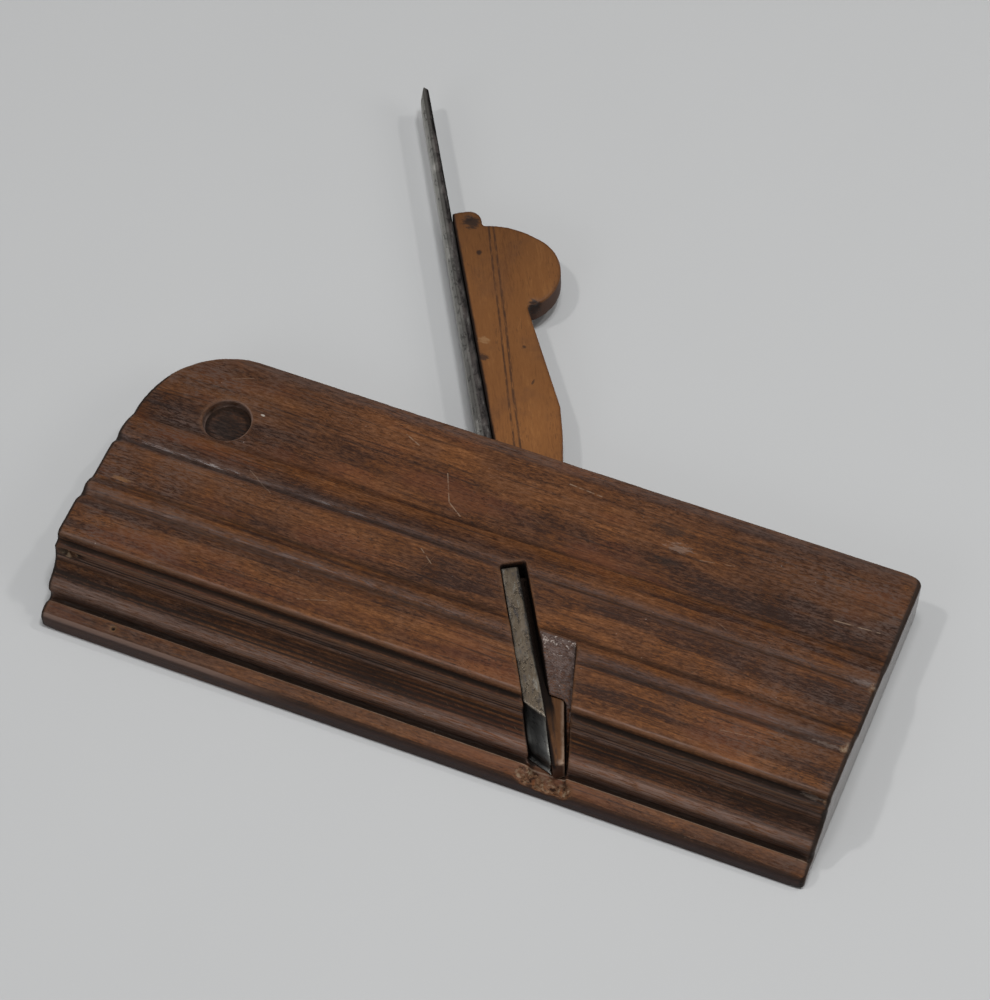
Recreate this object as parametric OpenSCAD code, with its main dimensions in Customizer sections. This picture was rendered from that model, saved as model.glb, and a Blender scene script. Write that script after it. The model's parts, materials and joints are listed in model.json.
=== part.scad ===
// Wooden moulding plane lying on its flat cheek: a stock, a profiled iron and the wedge that holds it.
// X runs from heel to toe, Y from sole to top and Z from the flat cheek up to the moulded cheek.
// The origin is the centre of the flat cheek. All sizes are in millimetres.

/* [Stock] */
// Length of the stock from heel to toe
stock_l = 241.3; // [200:0.1:300]
// Height of the stock from sole to top
stock_h = 100.3; // [90:0.1:130]
// Thickness along the top, where the hand grips
grip_t = 20; // [17:0.5:23]
// Thickness of the middle band of the moulded cheek
waist_t = 24; // [22:0.5:26]
// Thickness of the lowest band, the thickest one
shoulder_t = 27; // [25:0.5:32]
// Radius of the rounded top corner at the heel
heel_r = 30; // [10:0.5:31]
// Radius of the top corner at the toe
toe_r = 4; // [1:0.5:15]
// Rounding of the long arrises of the moulded cheek
arris_r = 1.2; // [0.4:0.1:2]
// How far the toe end leans in towards the flat cheek
toe_lean_d = 1.4; // [0.5:0.1:4]

/* [Cheek steps] */
// Height above the sole of the foot of the upper step
upper_foot = 69; // [64:0.5:76]
// Width of the upper step's rounded rise
upper_rise_w = 10.5; // [6:0.5:12]
// Width of the hollow beside the upper rise
upper_hollow_w = 3; // [2:0.25:5]
// Height above the sole of the foot of the lower step
lower_foot = 41; // [38:0.5:48]
// Width of the lower step's rounded rise
lower_rise_w = 5.5; // [4:0.25:8]
// Width of the hollow beside the lower rise
lower_hollow_w = 4.2; // [2:0.25:6]
// How far a rise swells out of a straight slope
rise_swell = 0.8; // [0.2:0.1:1.5]
// How far a hollow dips under a straight line
hollow_d = 0.8; // [0.2:0.1:1.5]
// Drop from a band to the crest of its rise
crest_drop = 0.3; // [0:0.1:1]

/* [Sole profile] */
// Width of the fence that runs along the sole
fence_w = 5.8; // [4:0.1:8]
// Thickness of the fence
fence_t = 7.4; // [6.5:0.1:9]
// Rounding of the fence's outer edge
fence_r = 3; // [1:0.1:3.8]
// Width of the quirk's mouth between fence and round
quirk_w = 0.9; // [0.5:0.1:2]
// Depth of the quirk under the fence
quirk_d = 1.2; // [0.5:0.1:2]
// Radius of the convex round
round_r = 3.4; // [2.5:0.1:4.5]
// Height of the round's centre above the fence
round_lift = 3.1; // [2.5:0.1:4.5]
// Radius of the hollow cove above the round
cove_r = 8.6; // [6:0.1:10]
// Angle at which the cove turns into the round
ogee_angle = 68; // [55:1:80]
// Width of the ledge above the cove
ledge_w = 2.5; // [1:0.1:4]
// Drop from the lowest band to the ledge
ledge_d = 3; // [1.5:0.1:4.5]

/* [Cheek hole] */
// Diameter of the blind hole near the heel
hole_d = 14.4; // [8:0.2:20]
// Depth of the blind hole
hole_depth = 3.5; // [2:0.1:8]
// Distance of the hole's centre from the heel
hole_from_heel = 27.7; // [18:0.1:50]
// Distance of the hole's centre from the top
hole_from_top = 23.7; // [16:0.1:40]

/* [Mortise and throat] */
// Pitch of the bed that carries the iron
bed_angle = 59.6; // [52:0.1:66]
// Distance from the middle of the stock to the bed at the sole
mouth_x = 38; // [20:0.1:60]
// Wood left under the mortise at the flat cheek
cheek_wall = 5.5; // [4.5:0.1:6]
// Gap in front of the iron where the slot breaks the cheek
slot_gap = 2.2; // [1:0.1:4]
// Height above the sole where the escapement runs out at the cheek
throat_top = 39.3; // [34:0.1:46]
// Height above the sole where the escapement opens the mortise
throat_break = 24.2; // [18:0.1:30]
// Width of the escapement in front of the wedge at its top
throat_w = 4.2; // [2:0.1:8]
// Depth of the cut in the fence under the mouth
mouth_cut = 1.5; // [0.5:0.1:2]

/* [Iron] */
// Thickness of the iron at the sole
iron_t = 5.9; // [4:0.1:7]
// Thickness of the tang at its top
tang_top_t = 3.2; // [2:0.1:4]
// Height of the tang above the stock, along the bed
tang_stand = 141; // [60:1:180]
// Width of the tang
tang_w = 8.4; // [6:0.1:10]
// Width of the blade
blade_w = 17.2; // [14:0.1:19]
// Length of the blade from the sole to its shoulder
blade_l = 65; // [50:0.5:75]
// Fillet between tang and shoulder
shoulder_fillet = 0.5; // [0.3:0.1:0.6]
// Angle of the ground bevel behind the cutting edge
bevel_angle = 42; // [25:1:50]
// How far the cutting edge stands out of the sole
iron_set = 0.4; // [0:0.1:1]
// Hammered flat along the back arris of the bare tang
tang_flat = 1.2; // [0.4:0.1:1.8]
// How much lower the back of the tang's top stands than its middle
tang_slope = 5; // [1:0.5:8]

/* [Wedge] */
// Thickness of the wedge
wedge_t = 8.5; // [6:0.1:10]
// Taper of the wedge's front edge against the bed
wedge_taper = 8.3; // [5:0.1:11]
// Width of the wedge at its tip
tip_w = 3.9; // [2:0.1:6]
// Height of the tip above the sole, along the bed
tip_s = 5; // [3:0.5:20]
// Height of the wedge's shoulder above the stock, along the bed
wedge_stand = 4.6; // [2:0.1:20]
// Length of the shaft from the shoulder to the notch
shaft_l = 43.8; // [30:0.2:60]
// How far the shaft narrows from the shoulder to the notch
shaft_narrow = 4.5; // [1:0.1:7]
// Radius of the rounded head
head_r = 14.9; // [10:0.1:18]
// Height of the head's centre above the notch
head_rise = 14.2; // [9:0.1:16]
// Depth of the notch under the head
notch_d = 2.1; // [0.5:0.1:4]
// Height of the striking tab's top above the notch
tab_h = 40; // [34:0.2:46]
// Height by which the tab stands above the crown of the head
tab_step = 6.4; // [2:0.1:10]
// Width of the striking tab
tab_w = 9; // [5:0.1:12]
// Rounding of the tab's front corner
tab_r = 4; // [1:0.1:5]
// How far the crown of the head swells out of a straight slope
crown_swell = 1.5; // [0.5:0.1:3]

/* [Clearances] */
// Gap between the iron and its bed
bed_gap = 0.05; // [0.03:0.01:0.3]
// Gap between the wedge and the iron
seat_gap = 0.12; // [0.08:0.01:0.4]
// Gap between the wedge and the front of the mortise
front_gap = 0.08; // [0.05:0.01:0.4]
// Gap on each side of the wedge in the mortise
side_gap = 0.15; // [0.08:0.01:0.4]
// Room above the blade's shoulder in the slot
shoulder_gap = 1; // [1:0.1:4]

/* [Hidden] */
$fn = 64;
// Overlap that makes a cut run clear through a face
through = 20;

// Mortise across the thickness of the stock
mortise_z0 = cheek_wall;
mortise_w = max(wedge_t, tang_w) + 2 * side_gap;
mortise_z1 = mortise_z0 + mortise_w;
mid_z = (mortise_z0 + mortise_z1) / 2;

// Heights along the bed: S runs up the bed from the sole, W runs forward from the bed
top_s = stock_h / sin(bed_angle);
tang_top = top_s + tang_stand;
neck_s = top_s + wedge_stand;
notch_s = neck_s + shaft_l;
tab_top = notch_s + tab_h;
crown_s = tab_top - tab_step;
slot_top = blade_l + shoulder_gap;
iron_slope = (iron_t - tang_top_t) / tang_top;
tang_z0 = mid_z - tang_w / 2;
tang_z1 = mid_z + tang_w / 2;
blade_z1 = tang_z0 + blade_w;

// Faces of the iron and the wedge as distances W from the bed, at a height S
function iron_front(s) = bed_gap + iron_t - iron_slope * s;
function wedge_rear(s) = iron_front(s) + seat_gap;
function wedge_front(s) = wedge_rear(tip_s) + tip_w + tan(wedge_taper) * (s - tip_s);
neck_w = wedge_front(neck_s);
notch_w = neck_w - shaft_narrow;
head_c = [notch_s + head_rise, notch_w + notch_d - sqrt(head_r * head_r - head_rise * head_rise)];

// Points along an arc, and along a line that swells sideways by a rise at its middle
function arc(c, r, a0, a1, n) =
    [for (i = [0:n]) let (a = a0 + (a1 - a0) * i / n) c + r * [cos(a), sin(a)]];
function across(v) = [-v[1], v[0]] / norm(v);
function swell(p, q, rise, n) =
    [for (i = [0:n]) let (t = i / n) p + (q - p) * t + across(q - p) * rise * 4 * t * (1 - t)];

// Sole profile, from the fence to the foot of the lowest band, as [Y, Z] points
quirk_z = fence_t - quirk_d;
round_end = 215;
round_c = [fence_w + quirk_w + round_r, fence_t + round_lift];
cove_c = round_c + (cove_r + round_r) * [-cos(ogee_angle), sin(ogee_angle)];
quirk_y = round_c[0] + round_r * cos(round_end);
ledge_y = cove_c[0] + cove_r;
ledge_z = shoulder_t - ledge_d;
fence_line = concat(arc([fence_r, fence_t - fence_r], fence_r, 180, 90, 8), [[fence_w, fence_t]]);
sole_line = concat(
    [[fence_w, quirk_z], [quirk_y, quirk_z]],
    arc(round_c, round_r, round_end, 180 - ogee_angle, 12),
    arc(cove_c, cove_r, -ogee_angle, 0, 10),
    [[ledge_y, ledge_z], [ledge_y + ledge_w, ledge_z]]);

// One step of the moulded cheek, from the band's edge down its hollow and rise to the foot
function step_line(foot, rise_w, hollow_w, high, low) = concat(
    swell([foot - rise_w - hollow_w, high], [foot - rise_w, high - crest_drop], -hollow_d, 6),
    swell([foot - rise_w, high - crest_drop], [foot, low], rise_swell, 8));
cheek_line = concat(
    arc([ledge_y + ledge_w + arris_r, shoulder_t - arris_r], arris_r, 180, 90, 4),
    step_line(lower_foot, lower_rise_w, lower_hollow_w, shoulder_t, waist_t),
    step_line(upper_foot, upper_rise_w, upper_hollow_w, waist_t, grip_t),
    arc([stock_h - arris_r, grip_t - arris_r], arris_r, 90, 0, 4));

// Puts a piece drawn from the sole and the flat cheek into the part's frame
module from_sole() translate([0, -stock_h / 2, 0]) children();

// Frame of the bed: local X is S up the bed, local -Y is W forward from the bed
module along_bed() translate([mouth_x, 0, 0]) rotate([0, 0, 180 - bed_angle]) children();
function bed_points(points) = [for (p = points) [p[0], -p[1]]];

// Blank of the stock: the cheek profile drawn along its length, cut to the plan with its corners
module stock_blank() {
    intersection() {
        translate([-stock_l / 2, 0, 0]) rotate([90, 0, 90]) linear_extrude(stock_l)
            polygon(concat([[0, 0]], fence_line, sole_line, cheek_line, [[stock_h, 0]]));
        translate([0, 0, -1]) linear_extrude(shoulder_t + 2) stock_plan();
    }
}

// Plan of the stock: a rectangle with round corners at the top of heel and toe
module stock_plan() {
    translate([heel_r - stock_l / 2, stock_h - heel_r]) circle(heel_r);
    polygon(concat(
        [[-stock_l / 2, 0], [stock_l / 2, 0]],
        arc([stock_l / 2 - toe_r, stock_h - toe_r], toe_r, 0, 90, 8),
        [[heel_r - stock_l / 2, stock_h], [-stock_l / 2, stock_h - heel_r]]));
}

// Waste beyond the toe end, which is sawn a little out of square and leans in towards the flat cheek
module toe_waste() {
    lean = toe_lean_d / shoulder_t;
    translate([stock_l / 2, stock_h + 1, 0]) rotate([90, 0, 0]) linear_extrude(stock_h + 2)
        polygon([
            [-toe_lean_d - lean, -1], [lean, shoulder_t + 1],
            [through, shoulder_t + 1], [through, -1]]);
}

// Mortise for tang and wedge, open at the top and at the mouth
module mortise() {
    top = top_s + through;
    along_bed() translate([0, 0, mortise_z0]) linear_extrude(mortise_w)
        polygon(bed_points([
            [-through, 0], [top, 0],
            [top, wedge_front(top) + front_gap], [-through, wedge_front(-through) + front_gap]]));
}

// Slot that lets the wide blade through the moulded cheek and the sole
module blade_slot() {
    along_bed() translate([0, 0, mortise_z0]) linear_extrude(shoulder_t + through)
        polygon(bed_points([
            [-through, 0], [slot_top, 0],
            [slot_top, iron_front(slot_top) + slot_gap], [-through, iron_front(-through) + slot_gap]]));
}

// Escapement: two ramps that open the mortise to the cheek and throw the shavings out sideways
module escapement() {
    run_out_z = (waist_t + shoulder_t) / 2;
    break_z = mortise_z1 - 2 * side_gap;
    ramp = (run_out_z - break_z) / (throat_top - throat_break);
    mouth_z = fence_t - mouth_cut;
    lower_ramp = (break_z - mouth_z) / throat_break;
    far_y = throat_top + through;
    wall_top = far_y / sin(bed_angle);
    intersection() {
        translate([-stock_l / 2, 0, 0]) rotate([90, 0, 90]) linear_extrude(stock_l)
            polygon([
                [-through, mouth_z - lower_ramp * through], [throat_break, break_z],
                [far_y, break_z + ramp * (far_y - throat_break)],
                [far_y, shoulder_t + 2 * through], [-through, shoulder_t + 2 * through]]);
        along_bed() linear_extrude(shoulder_t + through)
            polygon(bed_points([
                [-through, iron_front(0) / 2], [wall_top, iron_front(0) / 2],
                [wall_top, throat_wall(wall_top)], [-through, throat_wall(-through)]]));
    }
}
// The escapement's front wall spreads from the wedge's line at the sole to its full width at the top
function throat_wall(s) = wedge_front(s) + front_gap + throat_w * (s + tip_s) / (throat_top + tip_s);

module stock() {
    color("#5a3a28") from_sole() difference() {
        stock_blank();
        toe_waste();
        mortise();
        blade_slot();
        escapement();
        translate([hole_from_heel - stock_l / 2, stock_h - hole_from_top, grip_t - hole_depth])
            cylinder(h = hole_depth + through, d = hole_d);
    }
}

// Side view of the iron: flat on the bed, tapering in thickness up to the tang's struck top
module iron_side() {
    linear_extrude(shoulder_t + through)
        polygon(bed_points([
            [-through, bed_gap], [tang_top - tang_slope, bed_gap],
            [tang_top, bed_gap + tang_top_t / 2], [tang_top - tang_slope / 4, iron_front(tang_top)],
            [-through, iron_front(-through)]]));
}

// Front view of the iron: a wide blade with one shoulder, and the narrow tang
module iron_front_view() {
    blade_chamfer = shoulder_fillet / 2;
    rotate([90, 0, 0]) translate([0, 0, -through]) linear_extrude(2 * through + iron_t)
        polygon(concat(
            [[-through, tang_z0], [tang_top, tang_z0], [tang_top, tang_z1]],
            arc([blade_l + shoulder_fillet, tang_z1 + shoulder_fillet], shoulder_fillet, -90, -180, 5),
            [[blade_l, blade_z1 - blade_chamfer], [blade_l - blade_chamfer, blade_z1]],
            [[-through, blade_z1]]));
}

// Space above the ground bevel: the sole profile carried back along the bevel from the cutting edge
module bevel_space() {
    pitch = sin(bed_angle) - iron_slope * cos(bed_angle);
    function edge_s(y) = (y - iron_set - iron_front(0) * cos(bed_angle)) / pitch;
    function edge_b(s) = s * sin(bevel_angle) + iron_front(s) * cos(bevel_angle);
    far_b = edge_b(tang_top + through);
    rotate([90, 0, bevel_angle - 90]) linear_extrude(4 * tang_top, center = true)
        polygon(concat(
            [[far_b, -1], [edge_b(edge_s(fence_w)), -1]],
            [for (p = sole_line) [edge_b(edge_s(p[0])), p[1]]],
            [[far_b, ledge_z]]));
}

// Flat hammered along the back arris of the tang, where it stands clear of the stock
module tang_arris() {
    bare_s = top_s + tang_w;
    translate([bare_s, -bed_gap, tang_z1]) rotate([90, 0, 90]) linear_extrude(tang_stand)
        polygon([
            [tang_flat, tang_flat], [-tang_flat, tang_flat], [-tang_flat, 0], [0, -tang_flat],
            [tang_flat, -tang_flat]]);
}

module iron() {
    color("#7d7b70") from_sole() along_bed() difference() {
        intersection() {
            iron_side();
            iron_front_view();
            bevel_space();
        }
        tang_arris();
    }
}

// Wedge: straight against the iron, tapered in front, with a notched round head and a striking tab
module wedge() {
    head_end = 36;
    notch_at = atan2(notch_w + notch_d - head_c[1], -head_rise);
    crown_from = head_c + head_r * [cos(head_end), sin(head_end)];
    tab_w_top = wedge_rear(tab_top) + tab_w;
    color("#a9602e") from_sole() along_bed() translate([0, 0, mid_z - wedge_t / 2]) linear_extrude(wedge_t)
        polygon(bed_points(concat(
            [[tip_s, wedge_rear(tip_s)], [tip_s, wedge_front(tip_s)]],
            [[neck_s - tip_s, wedge_front(neck_s - tip_s)], [neck_s + tip_s, neck_w]],
            [[notch_s, notch_w]],
            arc(head_c, head_r, notch_at, head_end, 24),
            swell(crown_from, [crown_s, tab_w_top], crown_swell, 8),
            arc([tab_top - tab_r, tab_w_top - tab_r], tab_r, 90, 0, 6),
            [[tab_top, wedge_rear(tab_top)]])));
}

stock();
iron();
wedge();
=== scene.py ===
# Wooden moulding plane on a pale floor: worn stock, forged iron and notched wedge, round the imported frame
import json
import math
from types import SimpleNamespace

import bmesh
import bpy
import numpy as np
from mathutils import Matrix, Vector, noise


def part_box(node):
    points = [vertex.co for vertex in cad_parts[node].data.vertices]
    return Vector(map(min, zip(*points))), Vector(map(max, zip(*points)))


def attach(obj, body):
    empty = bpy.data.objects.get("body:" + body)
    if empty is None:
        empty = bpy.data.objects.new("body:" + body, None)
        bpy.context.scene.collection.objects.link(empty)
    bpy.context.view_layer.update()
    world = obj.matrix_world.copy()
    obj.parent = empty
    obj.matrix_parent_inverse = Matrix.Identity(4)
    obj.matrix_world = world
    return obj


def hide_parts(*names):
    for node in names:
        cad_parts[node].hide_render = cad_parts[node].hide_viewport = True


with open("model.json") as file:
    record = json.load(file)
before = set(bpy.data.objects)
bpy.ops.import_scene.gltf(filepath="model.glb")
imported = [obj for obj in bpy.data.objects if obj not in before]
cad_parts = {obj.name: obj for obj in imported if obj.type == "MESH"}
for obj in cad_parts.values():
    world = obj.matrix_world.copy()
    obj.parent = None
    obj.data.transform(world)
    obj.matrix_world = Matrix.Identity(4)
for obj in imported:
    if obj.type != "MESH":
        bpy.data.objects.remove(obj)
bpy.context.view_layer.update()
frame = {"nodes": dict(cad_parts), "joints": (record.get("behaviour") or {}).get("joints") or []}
scene = bpy.context.scene
mm = 0.001
print("frame loaded:", sorted(frame["nodes"]))


# Camera, floor and light

viewSetup = {
    "place": (0.25645, -0.54309, 0.97025),
    "right": (0.9241, 0.3812, -0.026),
    "up": (-0.3047, 0.7763, 0.5518),
    "back": (0.2305, -0.502, 0.8336),
    "lens": 137.63,
    "film": 36.0,
}


def placeCamera(setup):
    lens = bpy.data.cameras.new("photoCamera")
    lens.sensor_fit = "VERTICAL"
    lens.sensor_height = setup["film"]
    lens.lens = setup["lens"]
    lens.clip_start = 0.05
    camera = bpy.data.objects.new("photoCamera", lens)
    turn = Matrix((setup["right"], setup["up"], setup["back"])).transposed().to_4x4()
    camera.matrix_world = Matrix.Translation(setup["place"]) @ turn
    scene.collection.objects.link(camera)
    scene.camera = camera


lightSetup = {
    "skyColour": (0.975, 0.988, 1.0),
    "zenith": 0.24,
    "horizon": 0.1,
    # sine of the height at which the sky starts to brighten and is full
    "skyFrom": 0.1,
    "skyFull": 0.9,
    "lamps": {
        # direction towards the lamp, distance, width, level on the floor, colour
        "topLamp": ((0.02, 0.0, 1.0), 1.7, 0.2, 0.16, (0.98, 0.99, 1.0)),
        "crownLamp": ((0.17, 0.02, 1.0), 1.7, 0.2, 0.34, (0.98, 0.99, 1.0)),
        "window": ((-0.25, -0.8, 0.55), 1.7, 0.8, 0.05, (0.95, 0.97, 1.0)),
        "leftLamp": ((-0.327, -0.189, 0.926), 1.7, 0.11, 0.145, (1.0, 0.985, 0.975)),
        "rightLamp": ((0.418, 0.329, 0.845), 1.7, 0.11, 0.095, (1.0, 0.99, 0.975)),
        "toeLamp": ((0.8, 0.05, 0.6), 1.7, 0.8, 0.075, (1.0, 0.99, 0.98)),
    },
}


def placeLights(setup):
    world = bpy.data.worlds.new("softRoom")
    world.use_nodes = True
    s = Sheet(world.node_tree)
    sky = world.node_tree.nodes["Background"].inputs
    sky["Color"].default_value = (*setup["skyColour"], 1)
    towards = s.node("ShaderNodeTexCoord").outputs["Generated"]
    lift = s.between(s.parts(towards)["Z"], setup["skyFrom"], setup["skyFull"])
    s.feed(s.spread(lift, setup["zenith"] - setup["horizon"], setup["horizon"]), sky["Strength"])
    scene.world = world
    for name, (towards, distance, width, level, colour) in setup["lamps"].items():
        lamp = bpy.data.lights.new(name, "AREA")
        lamp.shape = "DISK"
        lamp.size = width
        lamp.color = colour
        direction = Vector(towards).normalized()
        lamp.energy = level * (math.pi * distance) ** 2 / direction.z
        holder = bpy.data.objects.new(name, lamp)
        holder.location = direction * distance
        holder.rotation_euler = direction.to_track_quat("Z", "Y").to_euler()
        scene.collection.objects.link(holder)


# Node wiring shared by materials and mesh trees

class Sheet:
    def __init__(self, tree):
        self.tree = tree

    def node(self, kind, inputs=None, **settings):
        made = self.tree.nodes.new(kind)
        for name, value in settings.items():
            setattr(made, name, value)
        for key, value in (inputs or {}).items():
            self.feed(value, made.inputs[key])
        return made

    def feed(self, value, socket):
        if isinstance(value, bpy.types.NodeSocket):
            self.tree.links.new(value, socket)
        else:
            socket.default_value = value

    def math(self, operation, a, b=0.0, c=0.0, clamp=False):
        made = self.node("ShaderNodeMath", {0: a, 1: b, 2: c}, operation=operation, use_clamp=clamp)
        return made.outputs[0]

    def minus(self, a, b):
        return self.math("SUBTRACT", a, b)

    def times(self, a, b):
        return self.math("MULTIPLY", a, b)

    def spread(self, value, scale, offset, clamp=False):
        return self.math("MULTIPLY_ADD", value, scale, offset, clamp)

    def apart(self, a, b):
        return self.math("ABSOLUTE", self.minus(a, b))

    def vector(self, operation, a, b=(0, 0, 0)):
        made = self.node("ShaderNodeVectorMath", {0: a, 1: b}, operation=operation)
        return made.outputs["Value" if operation in ("LENGTH", "DISTANCE", "DOT_PRODUCT") else "Vector"]

    def scaled(self, vector, factor):
        made = self.node("ShaderNodeVectorMath", {0: vector, "Scale": factor}, operation="SCALE")
        return made.outputs["Vector"]

    def parts(self, vector):
        return self.node("ShaderNodeSeparateXYZ", {"Vector": vector}).outputs

    def noise(self, where, detail=2.0, roughness=0.5):
        made = self.node("ShaderNodeTexNoise", {
            "Vector": where, "Scale": 1.0, "Detail": detail, "Roughness": roughness})
        return made.outputs[0]

    def noiseAt(self, place, size, detail=2.0, roughness=0.5):
        return self.noise(self.vector("MULTIPLY", place, size), detail, roughness)

    # Share of the way from low to high
    def share(self, value, low, high, curve="LINEAR"):
        limits = {"Value": value, "From Min": low, "From Max": high}
        return self.node("ShaderNodeMapRange", limits, interpolation_type=curve).outputs[0]

    # Soft step from 0 at low to 1 at high
    def between(self, value, low, high):
        return self.share(value, low, high, "SMOOTHSTEP")

    # Soft band: rises from start to full, falls from last to stop
    def within(self, value, start, full, last, stop):
        return self.times(self.between(value, start, full), self.between(value, stop, last))

    def mix(self, factor, a, b, blend="MIX"):
        made = self.node("ShaderNodeMix", data_type="RGBA", blend_type=blend)
        self.feed(factor, made.inputs["Factor"])
        self.feed(a if isinstance(a, bpy.types.NodeSocket) else (*a, 1), made.inputs[6])
        self.feed(b if isinstance(b, bpy.types.NodeSocket) else (*b, 1), made.inputs[7])
        return made.outputs[2]

    # The colour with a tint laid over it where the mask is
    def cover(self, colour, mask, strength, tint):
        return self.mix(self.times(mask, strength), colour, tint)

    def grey(self, value):
        return self.node("ShaderNodeCombineColor", {"Red": value, "Green": value, "Blue": value}).outputs[0]

    def ramp(self, value, stops):
        made = self.node("ShaderNodeValToRGB", {"Fac": value})
        band = made.color_ramp
        band.interpolation = "EASE"
        while len(band.elements) < len(stops):
            band.elements.new(1.0)
        for element, (place, colour) in zip(band.elements, stops):
            element.position = place
            element.color = (*colour, 1)
        return made.outputs["Color"]

    def shades(self, value, stops):
        return self.ramp(value, [(place, (shade, shade, shade)) for place, shade in stops])


def newGroup(name, inputs, outputs, family="ShaderNodeTree"):
    tree = bpy.data.node_groups.new(name, family)
    kinds = {tuple: "NodeSocketVector", float: "NodeSocketFloat", int: "NodeSocketInt"}
    for label, value in inputs.items():
        kind = kinds.get(type(value), value)
        socket = tree.interface.new_socket(label, in_out="INPUT", socket_type=kind)
        if kind != value:
            socket.default_value = value
    for label in outputs:
        kind = inputs.get(label, "NodeSocketFloat")
        tree.interface.new_socket(label, in_out="OUTPUT", socket_type=kind)
    given = tree.nodes.new("NodeGroupInput").outputs
    out = tree.nodes.new("NodeGroupOutput").inputs
    return tree, Sheet(tree), given, out


def useGroup(sheet, group, inputs):
    return sheet.node("ShaderNodeGroup", inputs, node_tree=group).outputs


# Figure of the wood: rings round the pith, long streaks, fibres, pores and broad patches, along the local X
def buildWoodFigure():
    tree, s, given, out = newGroup("woodFigure", {
        "Vector": (0, 0, 0), "Pith": (0, 0, 0), "Ring spacing": 0.003, "Wander": 0.004,
        "Streak size": (14, 420, 420), "Fibre size": (80, 1400, 1400),
    }, ["Rings", "Streaks", "Dark streaks", "Hairlines", "Fibres", "Pores", "Patches"])
    place = given["Vector"]
    drift = s.node("ShaderNodeTexNoise", {"Vector": s.vector("MULTIPLY", place, (7, 18, 18)), "Scale": 1.0})
    shift = s.vector("SUBTRACT", drift.outputs["Color"], (0.5, 0.5, 0.5))
    bent = s.vector("ADD", place, s.scaled(shift, given["Wander"]))
    fromPith = s.vector("MULTIPLY", s.vector("SUBTRACT", bent, given["Pith"]), (0, 1, 1))
    phase = s.math("FRACT", s.math("DIVIDE", s.vector("LENGTH", fromPith), given["Ring spacing"]))
    s.feed(s.within(phase, 0.35, 0.92, 0.94, 1.0), out["Rings"])
    stretched = s.vector("MULTIPLY", bent, given["Streak size"])
    streaks = s.node("ShaderNodeTexNoise", {
        "Vector": stretched, "Scale": 1.0, "Detail": 5.0, "Roughness": 0.62})
    parts = s.node("ShaderNodeSeparateColor", {"Color": streaks.outputs["Color"]}).outputs
    s.feed(parts["Red"], out["Streaks"])
    s.feed(s.between(parts["Green"], 0.53, 0.7), out["Dark streaks"])
    hairs = s.noiseAt(bent, (22, 1500, 1500), 3, 0.6)
    s.feed(s.between(hairs, 0.54, 0.68), out["Hairlines"])
    fibres = s.vector("MULTIPLY", bent, given["Fibre size"])
    s.feed(s.noise(fibres, 5, 0.72), out["Fibres"])
    dashes = s.between(s.noiseAt(fibres, (1.6, 1.5, 1.5), 1), 0.58, 0.68)
    crowd = s.between(s.noiseAt(bent, (40, 160, 160), 2), 0.4, 0.6)
    s.feed(s.times(dashes, crowd), out["Pores"])
    s.feed(s.noiseAt(place, (20, 60, 60), 3, 0.55), out["Patches"])
    return tree


# Wear that follows the shape: painted shade and dirt where it is hollow, rubbing where it is proud
def buildHandling():
    tree, s, given, out = newGroup("handlingWear", {
        "Vector": (0, 0, 0), "Relief": 0.0, "Dirt reach": 0.5, "Rub reach": 0.5,
    }, ["Dirt", "Rub", "Smudge"])
    broken = s.noiseAt(given["Vector"], (300, 500, 500), 4, 0.65)
    hollow = s.times(given["Relief"], -1.0)
    dirt = s.between(s.math("ADD", hollow, s.times(broken, 0.25)), 0.18, given["Dirt reach"])
    rub = s.between(s.math("ADD", given["Relief"], s.spread(broken, 0.5, -0.25)), 0.1, given["Rub reach"])
    s.feed(dirt, out["Dirt"])
    s.feed(rub, out["Rub"])
    s.feed(s.noiseAt(given["Vector"], (90, 90, 90), 5, 0.62), out["Smudge"])
    return tree


# Fine scratches in three directions, in patches
def buildScratches():
    tree, s, given, out = newGroup("fineScratches", {"Vector": (0, 0, 0), "Density": 0.5}, ["Scratches"])
    total = 0.0
    for turn, offset in ((0.5, 0.0), (-0.9, 3.7), (1.9, 8.1)):
        turned = s.node("ShaderNodeMapping", {
            "Vector": given["Vector"], "Location": (offset, offset, 0), "Rotation": (0, 0, turn)}).outputs[0]
        lines = s.noiseAt(turned, (60, 2600, 900), 1)
        patches = s.noiseAt(turned, (35, 35, 35), 2)
        limit = s.spread(given["Density"], -0.16, 0.86)
        shown = s.times(s.math("GREATER_THAN", lines, limit), s.between(patches, 0.45, 0.6))
        total = s.math("MAXIMUM", total, shown)
    s.feed(total, out["Scratches"])
    return tree


# One stain, knot, scuff or patch of painted shade at a place, with a broken edge
def buildSpot():
    tree, s, given, out = newGroup("spotMark", {
        "Vector": (0, 0, 0), "Place": (0, 0, 0), "Size": (1, 1, 1), "Broken": 0.5}, ["Mask"])
    apart = s.vector("DIVIDE", s.vector("SUBTRACT", given["Vector"], given["Place"]), given["Size"])
    rough = s.noiseAt(given["Vector"], (420, 1300, 1300), 4, 0.7)
    edge = s.spread(s.minus(rough, 0.5), s.times(given["Broken"], 4.0), s.vector("LENGTH", apart))
    s.feed(s.between(edge, 1.0, 0.45), out["Mask"])
    return tree


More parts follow.
